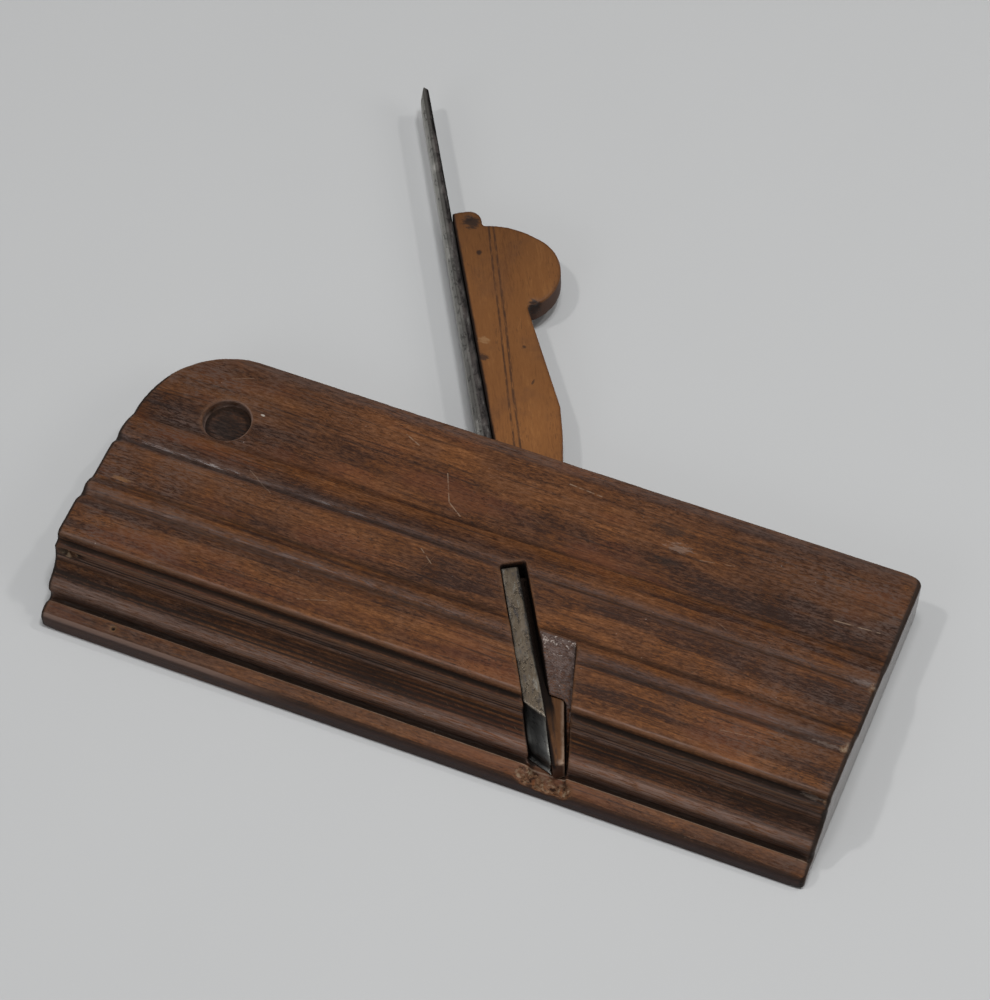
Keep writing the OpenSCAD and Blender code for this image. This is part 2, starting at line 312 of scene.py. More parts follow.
# One scratch between two places on the surface
def buildScratchLine():
    tree, s, given, out = newGroup("scratchLine", {
        "Vector": (0, 0, 0), "From": (0, 0, 0), "To": (0, 0, 0), "Width": 0.0002}, ["Mask"])
    shallow = (1, 1, 0.15)
    span = s.vector("MULTIPLY", s.vector("SUBTRACT", given["To"], given["From"]), shallow)
    apart = s.vector("MULTIPLY", s.vector("SUBTRACT", given["Vector"], given["From"]), shallow)
    reached = s.vector("DOT_PRODUCT", apart, span)
    share = s.math("DIVIDE", reached, s.vector("DOT_PRODUCT", span, span), clamp=True)
    aside = s.math("DIVIDE", s.vector("DISTANCE", apart, s.scaled(span, share)), given["Width"])
    faint = s.between(s.noiseAt(given["Vector"], (500, 500, 500), 2), 0.34, 0.56)
    s.feed(s.times(s.between(aside, 1.0, 0.3), faint), out["Mask"])
    return tree


woodFigure = buildWoodFigure()
handlingWear = buildHandling()
fineScratches = buildScratches()
spotMark = buildSpot()
scratchLine = buildScratchLine()
print("shared finishes built")


def newMaterial(name):
    material = bpy.data.materials.new(name)
    material.use_nodes = True
    tree = material.node_tree
    tree.nodes.clear()
    s = Sheet(tree)
    shader = s.node("ShaderNodeBsdfPrincipled")
    s.node("ShaderNodeOutputMaterial", {"Surface": shader.outputs[0]})
    place = s.node("ShaderNodeTexCoord").outputs["Object"]
    return material, s, shader.inputs, place


def readMark(s, name):
    return s.node("ShaderNodeAttribute", attribute_name=name).outputs["Fac"]


def readWear(s, place, reaches):
    return useGroup(s, handlingWear, {"Vector": place, "Relief": readMark(s, "relief"), **reaches})


def readScratches(s, place, density):
    return useGroup(s, fineScratches, {"Vector": place, "Density": density})["Scratches"]


def rampOf(s, value, finish, stops):
    return s.ramp(value, [(level, finish[name]) for level, name in finish[stops]])


# Tints of a finish laid over a colour in turn, each where its mask is
def layTints(s, finish, colour, rows):
    for mask, strength, tint in rows:
        colour = s.cover(colour, mask, strength, finish[tint])
    return colour


# Ground colour of a wood: its figure weighed into one tone, then the tone's colours
def paintGround(s, figure, finish):
    tone = 0.0
    for name, weight in finish["toneWeights"].items():
        tone = s.spread(figure[name], weight, tone)
    return rampOf(s, tone, finish, "toneStops")


def paintSpots(s, place, colour, spots):
    for where, size, broken, strength, tint in spots:
        mask = useGroup(s, spotMark, {
            "Vector": place, "Place": Vector(where) * mm, "Size": Vector(size) * mm, "Broken": broken})
        colour = s.cover(colour, mask["Mask"], strength, tint)
    return colour


def paintScratches(s, place, colour, lines, tint):
    for start, stop, width, strength in lines:
        mask = useGroup(s, scratchLine, {
            "Vector": place, "From": Vector(start) * mm, "To": Vector(stop) * mm, "Width": width * mm})
        colour = s.cover(colour, mask["Mask"], strength, tint)
    return colour


def feedBump(s, shader, relief, bump):
    s.feed(s.node("ShaderNodeBump", {"Height": relief, **bump}).outputs[0], shader["Normal"])


stockFinish = {
    "deep": (0.028, 0.0095, 0.0038),
    "mid": (0.07, 0.024, 0.0068),
    "warm": (0.122, 0.043, 0.0115),
    "light": (0.205, 0.08, 0.026),
    "red": (0.092, 0.026, 0.011),
    # painted reflection on the polished hollows
    "paintedSheen": (0.062, 0.04, 0.038),
    "streak": (0.02, 0.009, 0.0055),
    "groove": (0.014, 0.0075, 0.005),
    "pore": (0.016, 0.008, 0.005),
    # painted shade and dirt in the hollows, painted shadow along the sole's arris, painted shade on the
    # turning edges
    "dirt": (0.012, 0.008, 0.006),
    "rub": (0.15, 0.074, 0.038),
    # wear on the hole's rim, and painted highlight on the round, the edges of the moulding and the heel's
    # arris
    "worn": (0.175, 0.115, 0.092),
    # painted shade on the side of the sole, deeper away from the heel
    "soleSideShade": (0.048, 0.034, 0.033),
    "soleSideDeepShade": (0.024, 0.015, 0.0155),
    "film": (0.078, 0.056, 0.049),
    # pale scratches, and the painted highlight along the fence's lip
    "scratchAndHighlight": (0.27, 0.19, 0.13),
    "crumb": (0.26, 0.185, 0.12),
    "bare": (0.28, 0.17, 0.09),
    "dust": (0.155, 0.112, 0.099),
    "dustDark": (0.08, 0.055, 0.048),
    "speck": (0.42, 0.35, 0.31),
    "endGrain": (0.108, 0.08, 0.063),
    "endPore": (0.04, 0.027, 0.0205),
    "endRing": (0.034, 0.022, 0.017),
    # painted shade deep in slot and mortise
    "inside": (0.01, 0.006, 0.0045),
    "grain": {
        "Pith": (0.0, 0.021, -0.11), "Ring spacing": 3.1 * mm, "Wander": 6 * mm,
        "Streak size": (34, 520, 520), "Fibre size": (430, 1700, 1700),
    },
    "toneWeights": {"Patches": 0.3, "Fibres": 0.5, "Streaks": 0.26, "Rings": -0.08},
    "toneStops": [(0.4, "deep"), (0.47, "mid"), (0.538, "warm"), (0.625, "light")],
    "brokenStops": [(0.4, "streak"), (0.5, "rub"), (0.62, "crumb")],
    "reaches": {"Dirt reach": 0.75, "Rub reach": 0.9},
    "scratchDensity": 0.5,
    # waves per metre along the grain and across it
    "shineSize": (190, 2300, 2300),
    "planedSize": (3, 2100, 2100),
    "grooveSize": (4, 1000, 1000),
    "moteSize": (1500, 1700, 1700),
    "gritSize": (1300, 1900, 1900),
    "crumbSize": (420, 600, 600),
    "speckSize": (800, 900, 900),
    # height over the flat cheek from which the moulding's painted shade, painted highlight and polish show
    "mouldedHeights": (3 * mm, 7 * mm),
    # heights above the sole in mm
    "coveHeights": (8.5, 10.0, 16.5, 18.0),
    "gripHeights": (62, 70),
    "fenceHeights": (6.6, 5.6),
    # the fence's lip: height, edge and core of its painted highlight line
    "lip": {"height": 5.55, "edge": 0.32, "core": 0.12},
    # height in the frame from which more specks lie on the ramp
    "speckHeights": (-16 * mm, -11 * mm),
    "specular": 0.18,
    "coatRoughness": 0.24,
    "bump": {"Strength": 0.6, "Distance": 0.22 * mm},
    # start, stop, width in mm and strength of the scratches
    "scratches": [
        ((-23.2, 32.9, 20), (-18.8, 23.5, 20), 0.24, 0.6),
        ((-18.8, 23.5, 20), (-13.8, 20.1, 20), 0.24, 0.6),
        ((-19.0, 3.1, 24), (-14.0, -0.9, 24), 0.22, 0.55),
        ((12.4, 42.7, 20), (22.9, 42.0, 20), 0.26, 0.6),
        ((-40.2, 41.5, 20), (-35.2, 39.2, 20), 0.24, 0.6),
        ((101.7, 26.5, 20), (115.6, 27.2, 20), 0.26, 0.6),
        ((58.0, 31.6, 20), (68.3, 33.4, 20), 0.2, 0.35),
        ((-77.7, 10.2, 23.5), (-68.7, 4.9, 24), 0.2, 0.35),
        ((85.0, -24.0, 27), (97.0, -22.5, 27), 0.22, 0.4),
        ((-45.0, -28.0, 27), (-34.0, -24.5, 27), 0.2, 0.4),
        ((70.0, 12.0, 24), (76.0, 9.0, 24), 0.2, 0.4),
        ((-100.0, 40.0, 20), (-92.0, 43.5, 20), 0.2, 0.3),
    ],
    # height above the sole in mm, then painted shade and highlight, polish, and wear with painted highlight,
    # of the bands on the sole profile
    "soleTop": 20,
    "soleShadeAndPolishBands": [
        (0, 0.86, 0.1, 0.1), (5.1, 0.92, 0.1, 0.1), (5.45, 1.15, 0.1, 0.9), (5.75, 0.6, 0.0, 0.3),
        (5.95, 0.22, 0.0, 0.0), (6.6, 0.25, 0.0, 0.0), (7.2, 1.15, 0.6, 0.8), (9.0, 1.1, 0.6, 0.7),
        (9.8, 0.7, 0.1, 0.15), (11.0, 0.56, 0.0, 0.0), (13.7, 0.58, 0.0, 0.0), (14.2, 0.95, 0.1, 0.7),
        (14.6, 0.8, 0.1, 0.0), (16.4, 0.72, 0.1, 0.0), (16.9, 0.55, 0.0, 0.0), (17.5, 0.75, 0.0, 0.1),
        (18.0, 1.05, 0.2, 0.6), (18.6, 1.00, 0.1, 0.0), (20, 0.98, 0.0, 0.0)],
    # the same on the cheek above
    "cheekShadeAndPolishBands": [
        (20, 0.98, 0.0, 0.0), (31, 0.97, 0.1, 0.0), (32.5, 0.9, 0.8, 0.1), (35.5, 0.85, 0.9, 0.1),
        (37.5, 0.95, 0.2, 0.0), (42, 1.00, 0.0, 0.0), (54.5, 0.98, 0.1, 0.0), (56, 0.9, 0.9, 0.1),
        (58.4, 0.88, 0.8, 0.1), (60.5, 0.96, 0.2, 0.0), (70, 1.00, 0.0, 0.0), (95, 0.98, 0.0, 0.0),
        (98, 1.02, 0.2, 0.3), (99.3, 0.95, 0.2, 0.3), (100.3, 0.65, 0.1, 0.0)],
    # share of the length from heel to toe, shade
    "gripShades": [(0.0, 0.7), (0.16, 0.8), (0.33, 1.1), (0.45, 1.0), (0.7, 1.0), (0.86, 0.82), (1.0, 0.72)],
    "cheekShades": [(0.0, 1.0), (0.5, 1.0), (0.66, 1.18), (0.86, 1.15), (1.0, 0.95)],
    "fenceShades": [(0.0, 0.8), (0.35, 0.92), (0.62, 1.08), (1.0, 1.02)],
    "hole": {"centre": (-92.95 * mm, 26.45 * mm, 0.0), "rim": 7.4 * mm, "edge": 0.42 * mm, "core": 0.2 * mm},
    # place, size, broken edge, strength, colour
    "spots": [
        # the first darkens the floor of the hole: painted shade and dirt
        ((-93, 26.5, 16), (7.6, 7.6, 3.4), 0.4, 0.66, (0.005, 0.004, 0.0036)),
        ((-97.9, -46.7, 7.4), (1.5, 1.5, 1.5), 0.2, 0.7, (0.16, 0.09, 0.045)),
        ((-97.9, -46.7, 7.4), (0.75, 0.75, 3), 0.1, 1.0, (0.008, 0.005, 0.004)),
        ((51, 33.4, 20), (4.5, 1.8, 2), 0.9, 0.28, (0.26, 0.21, 0.18)),
        ((46.6, 38.5, 20), (7, 2.2, 2), 0.7, 0.55, (0.02, 0.013, 0.01)),
        ((49.5, 27.5, 20), (6, 1.8, 2), 0.7, 0.5, (0.022, 0.014, 0.01)),
        ((86, -49.2, 6.6), (1.8, 1.0, 1.6), 0.8, 0.6, (0.3, 0.22, 0.15)),
        ((-112, -7, 24), (4, 0.9, 2), 0.6, 0.5, (0.24, 0.12, 0.05)),
        ((-83.6, 32, 20), (0.9, 0.45, 1), 0.4, 0.8, (0.4, 0.36, 0.31)),
        ((117, 7.5, 23.6), (5.0, 0.8, 2), 0.9, 0.3, (0.24, 0.19, 0.17)),
        ((115, -17, 26.5), (5.0, 0.9, 2), 0.9, 0.3, (0.24, 0.18, 0.15)),
        ((116, -33.5, 24), (4.0, 0.7, 2), 0.9, 0.3, (0.22, 0.17, 0.14)),
    ],
}


# What the stock's finish follows: figure, wear, and where on the stock a point lies
def readStock(s, place, finish):
    low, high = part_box("stock")
    axes = s.parts(place)
    up = s.math("DIVIDE", s.minus(axes["Y"], low.y), mm)
    shadeAndPolishBands = readShadeAndPolishBands(s, finish, up, (high.y - low.y) / mm)
    moulded = s.between(axes["Z"], *finish["mouldedHeights"])
    wear = readWear(s, place, finish["reaches"])
    endFacing = s.spread(s.minus(wear["Smudge"], 0.5), 0.12, readMark(s, "endFacing"))
    return SimpleNamespace(
        place=place,
        y=axes["Y"],
        up=up,
        length=s.share(axes["X"], low.x, high.x),
        moulded=moulded,
        inCove=s.within(up, *finish["coveHeights"]),
        endFacing=endFacing,
        ends=s.between(endFacing, 0.93, 0.992),
        shadeAndPolishBands=shadeAndPolishBands,
        polish=s.times(shadeAndPolishBands["Green"], moulded),
        figure=useGroup(s, woodFigure, {"Vector": place, **finish["grain"]}),
        wear=wear,
        scratches=readScratches(s, place, finish["scratchDensity"]),
        shine=s.noiseAt(place, finish["shineSize"], 5, 0.75),
        grit=s.noiseAt(place, finish["gritSize"], 3, 0.7),
    )


def paintStockGrain(s, finish, at):
    figure = at.figure
    return layTints(s, finish, paintGround(s, figure, finish), [
        (s.between(figure["Patches"], 0.52, 0.66), 0.45, "red"),
        (figure["Dark streaks"], s.spread(at.inCove, 0.45, 0.32), "streak"),
        (figure["Hairlines"], s.spread(at.inCove, 0.25, 0.7), "streak"),
        (figure["Pores"], 0.6, "pore"),
    ])


# Painted shade and highlight, polish, and wear with painted highlight of the stock at its height above the
# sole
def readShadeAndPolishBands(s, finish, up, top):
    def bandsOver(name, height):
        stops = [(level / height, tuple(band)) for level, *band in finish[name]]
        return s.ramp(s.math("DIVIDE", up, height), stops)

    above = s.math("GREATER_THAN", up, finish["soleTop"])
    shadeAndPolishBands = s.mix(above, bandsOver("soleShadeAndPolishBands", finish["soleTop"]), bandsOver("cheekShadeAndPolishBands", top))
    return s.node("ShaderNodeSeparateColor", {"Color": shadeAndPolishBands}).outputs


# Painted shade and highlight by height on the moulding, painted sheen where it is polished, painted
# highlight on the round and edges with some wear, planed lines, then tone along the length
def paintBandShadeAndSheen(s, finish, at, colour):
    planed = s.between(s.noiseAt(at.place, finish["planedSize"], 2, 0.6), 0.48, 0.58)
    colour = s.mix(at.moulded, colour, s.grey(at.shadeAndPolishBands["Red"]), "MULTIPLY")
    colour = layTints(s, finish, colour, [
        (s.times(at.polish, s.between(at.shine, 0.42, 0.6)), 0.55, "paintedSheen"),
        (s.times(at.shadeAndPolishBands["Blue"], at.moulded), s.between(at.shine, 0.36, 0.58), "worn"),
        (s.times(at.polish, planed), 0.6, "streak"),
    ])
    shade = s.shades(at.length, finish["cheekShades"])
    for part in ("grip", "fence"):
        there = s.between(at.up, *finish[part + "Heights"])
        shade = s.mix(there, shade, s.shades(at.length, finish[part + "Shades"]))
    return s.mix(1.0, colour, shade, "MULTIPLY")


# Old polish and hand grease, thicker at the ends, then lines in the cove, rubbing, painted shade and dirt in
# the hollows, and fine scratches
def paintHandling(s, finish, at, colour):
    wear = at.wear
    middle = s.within(at.length, 0.02, 0.3, 0.72, 0.98)
    film = s.times(s.spread(middle, -0.45, 0.65), s.between(wear["Smudge"], 0.34, 0.62))
    film = s.times(film, s.between(at.figure["Fibres"], 0.42, 0.58))
    lines = s.between(s.noiseAt(at.place, finish["grooveSize"], 3, 0.6), 0.47, 0.58)
    return layTints(s, finish, colour, [
        (film, s.spread(at.inCove, -0.6, 1.0), "film"),
        (lines, s.times(at.inCove, 0.85), "groove"),
        (wear["Rub"], 0.4, "rub"),
        (wear["Dirt"], 0.8, "dirt"),
        (at.scratches, 0.2, "bare"),
    ])


# Marks at their own places: worn rim of the hole, painted highlight along the lip of the fence, scratches,
# spots with painted shade in the hole, and motes
def paintStockMarks(s, finish, at, colour):
    hole = finish["hole"]
    lip = finish["lip"]
    smudge = at.wear["Smudge"]
    flat = s.vector("MULTIPLY", s.vector("SUBTRACT", at.place, hole["centre"]), (1, 1, 0))
    onRim = s.between(s.apart(s.vector("LENGTH", flat), hole["rim"]), hole["edge"], hole["core"])
    lipHighlight = s.times(s.between(s.apart(at.up, lip["height"]), lip["edge"], lip["core"]), at.moulded)
    colour = layTints(s, finish, colour, [
        (s.times(onRim, s.between(smudge, 0.36, 0.56)), 0.6, "worn"),
        (s.times(lipHighlight, s.between(at.shine, 0.34, 0.5)),
         s.spread(s.between(at.length, 0.15, 0.6), 0.5, 0.2), "scratchAndHighlight"),
    ])
    colour = paintScratches(s, at.place, colour, finish["scratches"], finish["scratchAndHighlight"])
    colour = paintSpots(s, at.place, colour, finish["spots"])
    motes = s.between(s.noiseAt(at.place, finish["moteSize"], 0), 0.8, 0.9)
    return s.cover(colour, s.times(motes, s.between(smudge, 0.54, 0.66)), 0.5, finish["speck"])


# Dust and specks on the ramp, and the broken wood of the chips
def paintDust(s, finish, at, colour):
    crumbs = s.noiseAt(at.place, finish["crumbSize"], 5, 0.72)
    dust = s.times(readMark(s, "dust"), s.between(at.grit, 0.3, 0.55))
    dusty = s.mix(s.between(crumbs, 0.4, 0.6), finish["dustDark"], finish["dust"])
    colour = s.cover(colour, dust, 0.9, dusty)
    sparse = s.noiseAt(at.place, finish["speckSize"], 3, 0.65)
    specks = s.between(s.spread(s.between(at.y, *finish["speckHeights"]), 0.1, sparse), 0.62, 0.72)
    colour = s.cover(colour, dust, specks, finish["speck"])
    return s.cover(colour, readMark(s, "chip"), 0.85, rampOf(s, crumbs, finish, "brokenStops"))


# Painted shade on the side of the sole, painted highlight on its arris at the heel and painted shadow along
# it elsewhere, painted shade on the turning edges, the end grain, and painted shade deep in slot and mortise
def paintStockEdges(s, finish, at, colour):
    fibres = at.figure["Fibres"]
    soleFacing = readMark(s, "soleFacing")
    soleSideShade = s.between(soleFacing, 0.7, 0.92)
    arris = s.within(soleFacing, 0.5, 0.64, 0.84, 0.97)
    atHeel = s.between(at.length, 0.36, 0.22)
    # Painted shade on the sole's side, painted highlight on its arris at the heel and painted shadow along
    # it elsewhere, painted shade on the turning edges
    colour = layTints(s, finish, colour, [
        (soleSideShade, 0.65, "soleSideShade"),
        (soleSideShade, s.times(s.between(at.length, 0.2, 0.5), s.spread(fibres, -0.8, 1.0)), "soleSideDeepShade"),
        (arris, s.times(atHeel, 0.75), "worn"),
        (arris, s.spread(atHeel, -0.6, 0.6), "dirt"),
        (s.within(at.endFacing, 0.05, 0.3, 0.93, 0.992), 0.85, "dirt"),
    ])
    endTone = s.mix(s.between(fibres, 0.4, 0.58), finish["endPore"], finish["endGrain"])
    endTone = s.cover(endTone, at.figure["Rings"], 0.45, finish["endRing"])
    colour = s.cover(colour, at.ends, 0.85, endTone)
    # Painted shade deep in slot and mortise
    return s.cover(colour, readMark(s, "inside"), 0.95, finish["inside"])


# Roughness, coat and bump of the stock: glossy in the hollows, less so towards the toe, coated at the ends
def feedStockGloss(s, shader, finish, at):
    figure = at.figure
    shiny = s.times(s.between(at.shine, 0.48, 0.66), s.between(figure["Patches"], 0.36, 0.6))
    gloss = s.times(s.times(at.polish, s.spread(at.length, -0.75, 1.0)), shiny)
    rough = s.spread(figure["Fibres"], 0.26, 0.4)
    rough = s.spread(at.wear["Smudge"], 0.16, rough)
    rough = s.spread(gloss, -0.25, rough)
    s.feed(s.spread(at.wear["Dirt"], 0.45, rough, clamp=True), shader["Roughness"])
    shader["Specular IOR Level"].default_value = finish["specular"]
    coated = s.times(at.ends, s.spread(s.between(at.length, 0.3, 0.7), 0.65, 0.35))
    s.feed(s.math("MAXIMUM", coated, s.times(gloss, 0.65), clamp=True), shader["Coat Weight"])
    shader["Coat Roughness"].default_value = finish["coatRoughness"]
    relief = s.spread(figure["Pores"], -0.6, figure["Fibres"])
    relief = s.spread(at.scratches, -0.3, relief)
    relief = s.spread(s.times(readMark(s, "dust"), at.grit), 2.0, relief)
    feedBump(s, shader, relief, finish["bump"])


def buildStockWood(finish):
    material, s, shader, place = newMaterial("stockWood")
    at = readStock(s, place, finish)
    colour = paintStockGrain(s, finish, at)
    for paint in (paintBandShadeAndSheen, paintHandling, paintStockMarks, paintDust, paintStockEdges):
        colour = paint(s, finish, at, colour)
    s.feed(colour, shader["Base Color"])
    feedStockGloss(s, shader, finish, at)
    return material


# The bed frame: local X runs up the bed from the mouth, local -Y runs forward from the bed
bedFrame = {
    "mouth": (38.0 * mm, -50.15 * mm, 0.0),
    "slide": frame["joints"][1]["axis"],
    "ironFront": 5.95 * mm,
    "ironSlope": -0.010494,
    "wedgeFront": 9.19 * mm,
    "wedgeSlope": 0.14589,
}


def alongBed(s, place, lean=0.0):
    moved = s.vector("SUBTRACT", place, bedFrame["mouth"])
    turn = -math.atan2(bedFrame["slide"][1], bedFrame["slide"][0]) + lean
    return s.node("ShaderNodeMapping", {"Vector": moved, "Rotation": (0, 0, turn)}).outputs[0]


# How far the iron's front face stands ahead of the bed, at a height up the bed
def ironFront(s, height):
    return s.spread(height, bedFrame["ironSlope"], bedFrame["ironFront"])


wedgeFinish = {
    "deep": (0.112, 0.042, 0.0115),
    "mid": (0.162, 0.063, 0.0172),
    "light": (0.218, 0.091, 0.027),
    "line": (0.03, 0.014, 0.008),
    # painted shade and dirt in the hollows, and the dark of the chips
    "dirt": (0.024, 0.013, 0.009),
    # painted shade on the sides below the upper face, also laid on the proud edges
    "side": (0.045, 0.017, 0.009),
    "bright": (0.3, 0.21, 0.15),
    "stain": (0.09, 0.037, 0.015),
    # painted shade where the wedge lies beside the iron and in the slot
    "gapShade": (0.006, 0.0042, 0.0036),
    "grain": {
        "Pith": (0, -0.02, -0.05), "Ring spacing": 2.4 * mm, "Wander": 2 * mm,
        "Streak size": (26, 300, 300), "Fibre size": (260, 1500, 1500),
    },
    "grainLean": math.radians(2.6),
    "toneWeights": {"Patches": 0.4, "Fibres": 0.4, "Streaks": 0.20},
    "toneStops": [(0.36, "deep"), (0.5, "mid"), (0.66, "light")],
    "reaches": {"Dirt reach": 0.7, "Rub reach": 0.9},
    "scratchDensity": 0.4,
    # up the bed from tip to head, then shares of that length with their shades
    "span": (5 * mm, 205 * mm),
    "shades": [
        (0.0, 0.6), (0.1, 0.62), (0.42, 1.3), (0.56, 1.22),
        (0.68, 1.0), (0.84, 0.96), (0.93, 0.8), (1.0, 0.62)],
    # forward of the bed in mm, half width
    "growthLines": [(5.65, 0.28), (7.35, 0.32)],
    "lineWobble": 1.2 * mm,
    # under the upper face: where the painted shade of the sides starts, and how deep the painted shade of
    # the slot goes
    "faceDepths": (1.4 * mm, 0.5 * mm),
    "slotDepths": (3.0 * mm, 1.6 * mm),
    # ahead of the iron, then up the bed: the painted shade beside the iron and on the strip that shows in
    # the slot, and the worn tip
    "besideIron": (1.3 * mm, 0.5 * mm),
    "slotAhead": (3.6 * mm, 2.9 * mm),
    "slotHeights": (14 * mm, 22 * mm, 68 * mm, 74 * mm),
    "tipAhead": (1.2 * mm, 2.4 * mm),
    "tipHeights": (26 * mm, 20 * mm),
    "raggedGap": 1.2 * mm,
    "specular": 0.2,
    "bump": {"Strength": 0.35, "Distance": 0.1 * mm},
    "spots": [
        ((-55.0, 127.0, 14.1), (3.2, 2.8, 2.0), 0.6, 0.85, (0.016, 0.01, 0.008)),
        ((-48.1, 117.0, 14.1), (1.1, 1.3, 1.2), 0.3, 0.85, (0.014, 0.008, 0.006)),
        ((-31.5, 80.1, 14.1), (1.9, 1.5, 1.5), 0.6, 0.75, (0.018, 0.01, 0.008)),
        ((-24.2, 104.4, 12.0), (3.0, 3.0, 4.0), 0.7, 0.8, (0.016, 0.01, 0.008)),
        ((-21.2, 88.2, 14.1), (0.9, 0.7, 1.0), 0.4, 0.8, (0.03, 0.015, 0.009)),
        ((-13.6, 77.0, 14.1), (0.5, 1.4, 1.0), 0.3, 0.7, (0.03, 0.015, 0.009)),
        ((-33.7, 86.2, 14.1), (2.2, 1.6, 1.0), 0.7, 0.35, (0.33, 0.2, 0.1)),
    ],
}


def paintGrowthLines(s, finish, figure, along, colour):
    wobble = s.spread(figure["Streaks"], finish["lineWobble"], -finish["lineWobble"] / 2)
    forward = s.math("ADD", s.times(s.parts(along)["Y"], -1.0), wobble)
    dashes = s.between(figure["Fibres"], 0.68, 0.44)
    for ahead, half in finish["growthLines"]:
        line = s.between(s.apart(forward, ahead * mm), 2.0 * half * mm, 0.3 * half * mm)
        colour = s.cover(colour, s.times(line, dashes), 0.8, finish["line"])
    return colour


def buildWedgeWood(finish):
    material, s, shader, place = newMaterial("wedgeWood")
    under = s.minus(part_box("wedge")[1].z, s.parts(place)["Z"])
    along = alongBed(s, place, finish["grainLean"])
    bed = s.parts(alongBed(s, place))
    figure = useGroup(s, woodFigure, {"Vector": along, **finish["grain"]})
    wear = readWear(s, place, finish["reaches"])
    shades = s.shades(s.share(bed["X"], *finish["span"]), finish["shades"])
    colour = s.mix(1.0, paintGround(s, figure, finish), shades, "MULTIPLY")
    colour = paintGrowthLines(s, finish, figure, along, colour)
    # Pores, stains, painted shade on the sides below the upper face, the same dark on proud edges, painted
    # shade and dirt in the hollows, dark chips
    colour = layTints(s, finish, colour, [
        (figure["Pores"], 0.3, "line"),
        (s.between(wear["Smudge"], 0.5, 0.68), 0.35, "stain"),
        (s.minus(1.0, s.between(under, *finish["faceDepths"])), 0.85, "side"),
        (wear["Rub"], 0.4, "side"),
        (wear["Dirt"], 0.7, "dirt"),
        (readMark(s, "chip"), 0.8, "dirt"),
    ])
    colour = paintSpots(s, place, colour, finish["spots"])
    # Painted shade where the wedge lies beside the iron and in the slot, and a brighter worn arris at the
    # tip
    fromIron = s.minus(s.times(bed["Y"], -1.0), ironFront(s, bed["X"]))
    fromIron = s.spread(s.minus(wear["Smudge"], 0.5), finish["raggedGap"], fromIron)
    inSlot = s.times(s.between(fromIron, *finish["slotAhead"]), s.within(bed["X"], *finish["slotHeights"]))
    shadeInSlot = s.math("MAXIMUM", s.between(fromIron, *finish["besideIron"]), inSlot)
    shadeInSlot = s.times(shadeInSlot, s.between(under, *finish["slotDepths"]))
    atTip = s.times(s.between(bed["X"], *finish["tipHeights"]), s.between(fromIron, *finish["tipAhead"]))
    colour = layTints(s, finish, colour, [
        (shadeInSlot, 0.95, "gapShade"), (s.times(wear["Rub"], atTip), 0.8, "bright")])
    s.feed(colour, shader["Base Color"])
    rough = s.spread(wear["Smudge"], 0.3, 0.38)
    s.feed(s.spread(shadeInSlot, 0.4, rough, clamp=True), shader["Roughness"])
    shader["Specular IOR Level"].default_value = finish["specular"]
    relief = s.spread(figure["Pores"], -0.5, s.times(figure["Fibres"], 0.6))
    relief = s.spread(readScratches(s, place, finish["scratchDensity"]), -0.3, relief)
    feedBump(s, shader, relief, finish["bump"])
    return material


ironFinish = {
    "dark": (0.022, 0.019, 0.0184),
    "brown": (0.075, 0.066, 0.062),
    "grey": (0.165, 0.154, 0.143),
    "bright": (0.26, 0.25, 0.225),
    "rust": (0.03, 0.017, 0.012),
    "olive": (0.13, 0.1, 0.069),
    "bevel": (0.026, 0.027, 0.026),
    "bevelFront": (0.12, 0.12, 0.115),
    "flat": (0.26, 0.25, 0.232),
    "flatTop": (0.46, 0.448, 0.415),
    "edge": (0.15, 0.142, 0.13),
    # painted shade on the front face where the wedge covers it
    "gapShade": (0.006, 0.0052, 0.005),
    "forgedStops": [(0.4, "dark"), (0.54, "brown"), (0.66, "grey"), (0.78, "bright")],
    "sideStops": [(0.34, "brown"), (0.5, "olive"), (0.76, "bright")],
    "reaches": {"Dirt reach": 0.7, "Rub reach": 0.8},
    # waves per metre along the bed and across it
    "blotchSize": (170, 560, 560),
    "pitSize": (520, 850, 850),
    # forward of the bed: the rough arris, the flat back and the bevel
    "edgeAhead": (2.4 * mm, 1.9 * mm),
    "flatAhead": (1.3 * mm, 1.0 * mm),
    "bevelAhead": (2.6 * mm, 5.6 * mm),
    # behind the front face: painted shade where the wedge covers it
    "frontDepths": (0.9 * mm, 0.4 * mm),
    # up the bed: the brighter top of the tang, and the top of the bevel
    "tangHeights": (130 * mm, 220 * mm),
    "bevelHeights": (30 * mm, 24 * mm),
    # under the blade's side that shows in the cheek
    "sideDepths": (0.9 * mm, 0.4 * mm),
    "raggedEdge": 1.2 * mm,
    "raggedFront": 1.0 * mm,
    "bump": {"Strength": 0.5, "Distance": 0.16 * mm},
}


